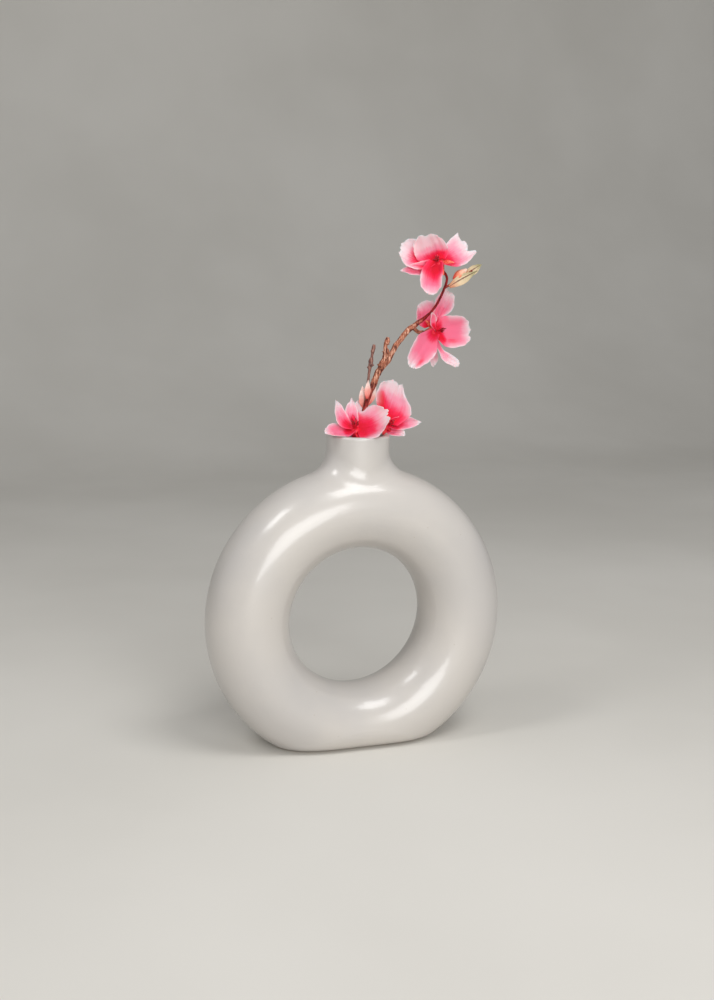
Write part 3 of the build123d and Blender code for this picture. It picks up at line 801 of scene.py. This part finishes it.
petal("top", "left_low", -173, -12, 0.82, 0.17, -40, -0.5,
      dict(cup=0.30, bow=0.04, sway=0, curl=0.0, ruffle=0.010, phase=1.0), 0.45, 0.80,
      (0.35, 0.62, 0.80, 0.90, 0.84, 0.66, 0.30), (0.60, 1.00, 0.98, 0.90, 0.78, 0.62, 0.36),
      (0.86, 0.91, 0.96, 1.00, 0.96, 0.91, 0.84))
petal("top", "tongue", -110, 22, 0.78, 0.32, -20, 0.5,
      dict(cup=0.30, bow=0.10, sway=0, curl=-0.02, ruffle=0.008, phase=3.0), 0.72, 0.60,
      (0.42, 0.50, 0.52, 0.56, 0.60, 0.60, 0.50), (0.60, 0.92, 1.00, 1.00, 0.96, 0.86, 0.66),
      (0.84, 0.94, 0.98, 0.98, 0.96, 0.93, 0.84))
petal("top", "right", 27, -10, 0.87, 0.40, 30, -0.4,
      dict(cup=0.28, bow=0.08, sway=0, curl=0.04, ruffle=0.016, phase=4.0), 0.52, 0.34,
      (0.30, 0.52, 0.71, 0.84, 0.93, 0.99, 1.00), (0.45, 0.72, 0.82, 0.85, 0.85, 0.78, 0.67),
      (0.88, 0.84, 0.93, 0.89, 0.80, 0.99, 0.84))
petal("middle", "upper", 61, -6, 0.96, 0.285, -20, 0,
      dict(cup=0.34, bow=0.08, sway=0, curl=0.05, ruffle=0.016, pleat=0.012, phase=0.2), 0.36, 0.46,
      (0.30, 0.42, 0.60, 0.83, 1.00, 0.92, 0.74), (0.22, 0.18, 0.28, 0.54, 0.76, 0.75, 0.60),
      (0.88, 0.97, 0.97, 0.95, 0.96, 0.93, 0.85))
petal("middle", "upper_left", 111, -18, 0.60, 0.34, -20, -0.8,
      dict(cup=0.36, bow=0.08, sway=0, curl=0.04, ruffle=0.014, pleat=0.014, phase=1.2), 0.36, 0.54,
      (0.45, 0.70, 0.77, 0.74, 0.62, 0.48, 0.30), (0.45, 0.74, 0.88, 0.96, 1.00, 1.00, 0.94),
      (0.82, 0.88, 0.93, 0.96, 1.00, 0.98, 0.88))
petal("middle", "inner", 107, 24, 0.36, 0.13, 0, 0.4,
      dict(cup=0.40, bow=0.05, sway=0, curl=0.0, ruffle=0.006), 0.35, 0.80,
      (0.30, 0.80, 1.0, 0.90, 0.60), (0.30, 0.80, 1.0, 0.90, 0.60),
      (0.8, 0.9, 1.0, 1.0, 1.0, 0.9, 0.8))
petal("middle", "right", 2, 9, 0.78, 0.40, 0, 0.5,
      dict(cup=0.30, bow=0.08, sway=0, curl=0.02, ruffle=0.012, fold=0.05, fold_at=(0.46, 0.60),
           phase=2.6), 0.22, 0.66,
      (0.40, 0.80, 0.84, 0.85, 0.84, 0.79, 0.66), (0.45, 0.84, 0.97, 1.00, 0.98, 0.92, 0.78),
      (0.86, 0.94, 0.95, 1.00, 0.94, 0.98, 0.84))
petal("middle", "lower_left", -129, 15, 0.97, 0.32, 20, 0.2,
      dict(cup=0.30, bow=0.06, sway=0, curl=0.03, ruffle=0.008, fold=0.05, fold_at=(0.78, -0.55),
           phase=3.7), 0.22, 0.56,
      (0.35, 0.72, 0.95, 1.00, 0.90, 0.76, 0.56), (0.35, 0.72, 0.90, 0.86, 0.84, 0.80, 0.68),
      (0.86, 0.93, 0.97, 0.99, 0.99, 0.96, 0.86))
petal("middle", "lower_mid", -81, -6, 0.73, 0.165, 0, -0.7,
      dict(cup=0.30, bow=0.06, sway=0, curl=0.02, ruffle=0.008, phase=0.9), 0.60, 0.45,
      (0.30, 0.73, 0.90, 0.96, 1.00, 0.98, 0.80), (0.45, 0.72, 0.72, 0.74, 0.80, 0.82, 0.68),
      (0.84, 0.93, 0.98, 1.00, 0.97, 0.93, 0.84))
petal("middle", "lower_right", -54, 17, 0.90, 0.150, 20, 0,
      dict(cup=0.30, bow=0.04, sway=0.10, curl=0.02, ruffle=0.010, phase=2.2), 0.30, 0.32,
      (0.35, 0.36, 0.34, 0.36, 0.66, 0.78, 0.70), (0.35, 0.36, 0.38, 0.52, 0.98, 1.00, 0.86),
      (0.90, 0.96, 0.99, 1.0, 0.98, 0.95, 0.88))
petal("rim_left", "over_rim", 176, 8, 0.76, 0.29, -15, -0.2,
      dict(cup=0.30, bow=0.03, sway=0, curl=0.0, ruffle=0.014, phase=0.7), 0.36, 0.62,
      (0.45, 0.66, 0.66, 0.65, 0.65, 0.63, 0.56), (0.55, 0.96, 0.92, 0.95, 0.97, 0.86, 0.60),
      (0.88, 0.97, 0.99, 1.00, 0.97, 0.92, 0.86))
petal("rim_left", "point", 118, -8, 0.84, 0.26, -20, 0.4,
      dict(cup=0.30, bow=0.05, sway=-0.05, curl=0.02, ruffle=0.008, phase=1.7), 0.50, 0.38,
      (0.40, 0.80, 1.00, 0.96, 0.80, 0.56, 0.14), (0.30, 0.40, 0.50, 0.52, 0.46, 0.38, 0.12),
      (0.92, 0.95, 0.98, 1.00, 0.98, 0.95, 0.92))
petal("rim_left", "inner", 89, -21, 0.84, 0.22, 0, 0.1,
      dict(cup=0.30, bow=0.05, sway=0, curl=0.02, ruffle=0.008, phase=2.7), 0.55, 0.40,
      (0.40, 0.78, 0.98, 1.00, 0.90, 0.62, 0.16), (0.36, 0.52, 0.60, 0.60, 0.54, 0.38, 0.12),
      (0.92, 0.95, 0.98, 1.00, 0.98, 0.95, 0.92))
petal("rim_left", "small", 75, -25, 0.90, 0.11, 0, -0.5,
      dict(cup=0.30, bow=0.05, sway=0, curl=0.03, ruffle=0.006, phase=3.7), 0.50, 0.25,
      (0.40, 0.60, 0.80, 0.90, 0.95, 0.95, 0.80), (0.40, 0.80, 1.00, 1.00, 0.96, 0.92, 0.70),
      (0.88, 0.95, 0.99, 1.0, 0.98, 0.94, 0.88))
petal("rim_left", "front", 24, 17, 1.06, 0.54, 20, 0.3,
      dict(cup=0.22, bow=0.12, sway=0, curl=-0.03, ruffle=0.014, pleat=0.010, phase=4.7),
      0.88, 0.42,
      (0.62, 0.90, 0.94, 0.94, 1.00, 0.92, 0.62), (0.60, 0.82, 0.90, 0.94, 0.92, 0.84, 0.66),
      (0.84, 0.92, 1.00, 0.91, 0.97, 0.92, 0.84), seat_share=-0.5)
petal("rim_right", "back", 66, -10, 0.94, 0.46, -15, 0.4,
      dict(cup=0.32, bow=0.10, sway=0, curl=0.05, ruffle=0.022, fold=0.03, fold_at=(0.58, -0.78),
           pleat=0.014, phase=0.4), 0.55, 0.36,
      (0.30, 0.52, 0.80, 0.96, 1.00, 0.98, 0.84), (0.50, 0.82, 0.98, 0.98, 0.80, 0.50, 0.34),
      (0.86, 0.95, 1.00, 0.94, 0.98, 0.90, 0.84))
petal("rim_right", "low", 5, 7, 0.75, 0.17, 10, 0.1,
      dict(cup=0.30, bow=0.03, sway=0, curl=0.0, ruffle=0.016, phase=1.4), 0.65, 0.50,
      (0.45, 0.90, 1.00, 0.98, 0.91, 0.70, 0.34), (0.50, 0.74, 0.80, 0.80, 0.74, 0.62, 0.40),
      (0.84, 0.92, 0.97, 1.00, 0.94, 0.90, 0.84))
petal("rim_right", "under", -17, 29, 0.45, 0.155, 10, -1.0,
      dict(cup=0.30, bow=0.03, sway=0, curl=0.0, ruffle=0.010, phase=2.4), 0.25, 0.40,
      (0.45, 0.84, 0.99, 1.00, 0.94, 0.88, 0.76), (0.40, 0.62, 0.70, 0.70, 0.62, 0.50, 0.34),
      (0.82, 0.92, 0.97, 1.00, 0.96, 0.90, 0.82))

# Leaves: narrow silk leaves, pressed to a keel. Three cream ones flushed with coral stand at
# the foot of the side twig, and two olive ones hold the bud. The olive ones have a dark
# red-brown stripe painted along the keel as shadow.
LEAF_SCALE = 0.016
LEAF_SIDES = ((0.3, 0.85, 1.0, 0.72, 0.10), (0.3, 0.80, 1.0, 0.66, 0.10))
LEAF_TIP = (0.94, 0.97, 0.99, 1.0, 0.99, 0.97, 0.94)
LEAF_FACING = (-0.3, -0.93, 0.2)
CREAM = [(0.0, (0.58, 0.07, 0.05)), (0.38, (0.76, 0.28, 0.23)), (0.75, (0.86, 0.66, 0.60))]
OLIVE = [(0.0, (0.52, 0.20, 0.10)), (0.40, (0.62, 0.48, 0.30)), (0.95, (0.34, 0.31, 0.16))]
KEEL_SHADOW = (0.11, 0.018, 0.012)
KEEL_SHADOW_AT = 0.42
leaf_finish, tree, shader = material("leaf_silk")
along_leaf, across_leaf = shape_places(tree)
green = on_points(tree, "green")
mottle = noise(tree, object_place(tree), 420.0, 3.0)
tone = math(tree, "MULTIPLY_ADD", mottle, 0.35, math(tree, "SUBTRACT", along_leaf, 0.17))
# A dark red-brown stripe beside the keel of the olive leaves is painted shadow.
from_keel_shadow = math(tree, "ABSOLUTE", math(tree, "SUBTRACT", across_leaf, KEEL_SHADOW_AT))
in_keel_shadow = math(tree, "LESS_THAN", from_keel_shadow, math(tree, "MULTIPLY_ADD", mottle, 0.10, 0.02))
keel_shadow_painted = math(tree, "MULTIPLY", math(tree, "MULTIPLY", in_keel_shadow, green), 0.8)
leaf_colour = mix(tree, green, ramp(tree, tone, CREAM), ramp(tree, tone, OLIVE))
tree.links.new(mix(tree, keel_shadow_painted, leaf_colour, KEEL_SHADOW), shader.inputs["Base Color"])
shader.inputs["Roughness"].default_value = 0.6
relief(tree, shader, math(tree, "MULTIPLY_ADD", mottle, 5.0, woven(tree)), 0.35, WEAVE_DEPTH)
# Each leaf: root, turn, lean to the front, length and half width as shares of LEAF_SCALE,
# and how green it is
LEAVES = {
    "bract_left": (spray_point(0.085, 0.145, 0.04), 97, -4, 0.96, 0.20, 0.0),
    "bract_right": (spray_point(0.088, 0.215, -0.045), 89, 6, 0.75, 0.12, 0.0),
    "bract_front": (spray_point(0.09, 0.17, 0.03), 61, -6, 0.95, 0.19, 0.0),
    "bud_leaf_lower": (spray_point(1.0, 0.89, -0.07), 30, 8, 1.30, 0.20, 1.0),
    "bud_leaf_upper": (spray_point(1.2, 0.96, -0.03), 32, -6, 0.85, 0.18, 1.0),
}
leaf_facing = unit(np.array(LEAF_FACING))
for name, (root, turn, front, length, half, greenness) in LEAVES.items():
    along = heading(turn, front)
    inward = unit(leaf_facing - along * along.dot(leaf_facing))
    shell, _, _ = cloth_shell(
        root, along, inward, length * LEAF_SCALE, half * LEAF_SCALE, *LEAF_SIDES, LEAF_TIP,
        cup=0.35, bow=0.04, sway=0, curl=0, ruffle=0.008, phase=turn, rows=36, columns=20,
    )
    build(name, [shell], leaf_finish, "leaf", green=greenness)

# Bud: silk petals wound round each other and still shut, peach with a coral foot. It is
# glued to the end of its twig, between its two leaves.
BUD_RADIUS = 0.0027
BUD_LENGTH = 0.0113
BUD_PROFILE = (0.35, 0.80, 1.0, 0.93, 0.62, 0.18)
BUD_EDGES = 3
BUD_WINDS = 4.5
BUD_EDGE_STEP = 0.14
PEACH = [
    (0.05, (0.72, 0.08, 0.05)), (0.38, (0.82, 0.26, 0.15)), (0.62, (0.86, 0.46, 0.32)),
    (0.95, (0.86, 0.62, 0.50)),
]
bud_finish, tree, shader = material("bud_silk")
up_bud, _ = shape_places(tree)
mottle = noise(tree, object_place(tree), 380.0, 3.0)
tone = math(tree, "MULTIPLY_ADD", mottle, 0.4, math(tree, "SUBTRACT", up_bud, 0.2))
tree.links.new(ramp(tree, tone, PEACH), shader.inputs["Base Color"])
shader.inputs["Roughness"].default_value = 0.55
relief(tree, shader, woven(tree), 0.3, WEAVE_DEPTH)

# The skin is a turned body whose radius steps out three times round it, and the three steps
# wind up the bud like the free edges of its petals.
bud_foot = spray_point(1.06, 0.935)
bud_way = heading(36, 0)
bud_height = np.linspace(0, 1, 60)
bud_radius = BUD_RADIUS * between(BUD_PROFILE, bud_height)
angle = np.linspace(0, 2 * np.pi, 48, endpoint=False)
wound = (angle[None] * BUD_EDGES + BUD_WINDS * bud_height[:, None]) / (2 * np.pi) % 1
free = np.clip(6 * bud_height, 0, 1)[:, None]
bud_skin = bud_radius[:, None] * (0.92 + BUD_EDGE_STEP * wound * free)
bud_side = np.array([0, 1.0, 0])
bud_other = np.cross(bud_way, bud_side)
bud_round = bud_side * np.cos(angle)[:, None] + bud_other * np.sin(angle)[:, None]
bud_middle = bud_foot + bud_way * (BUD_LENGTH * bud_height)[:, None, None]
bud_rings = bud_middle + bud_round[None] * bud_skin[..., None]
build("bud_petals", [shut(bud_rings)], bud_finish, "bud")
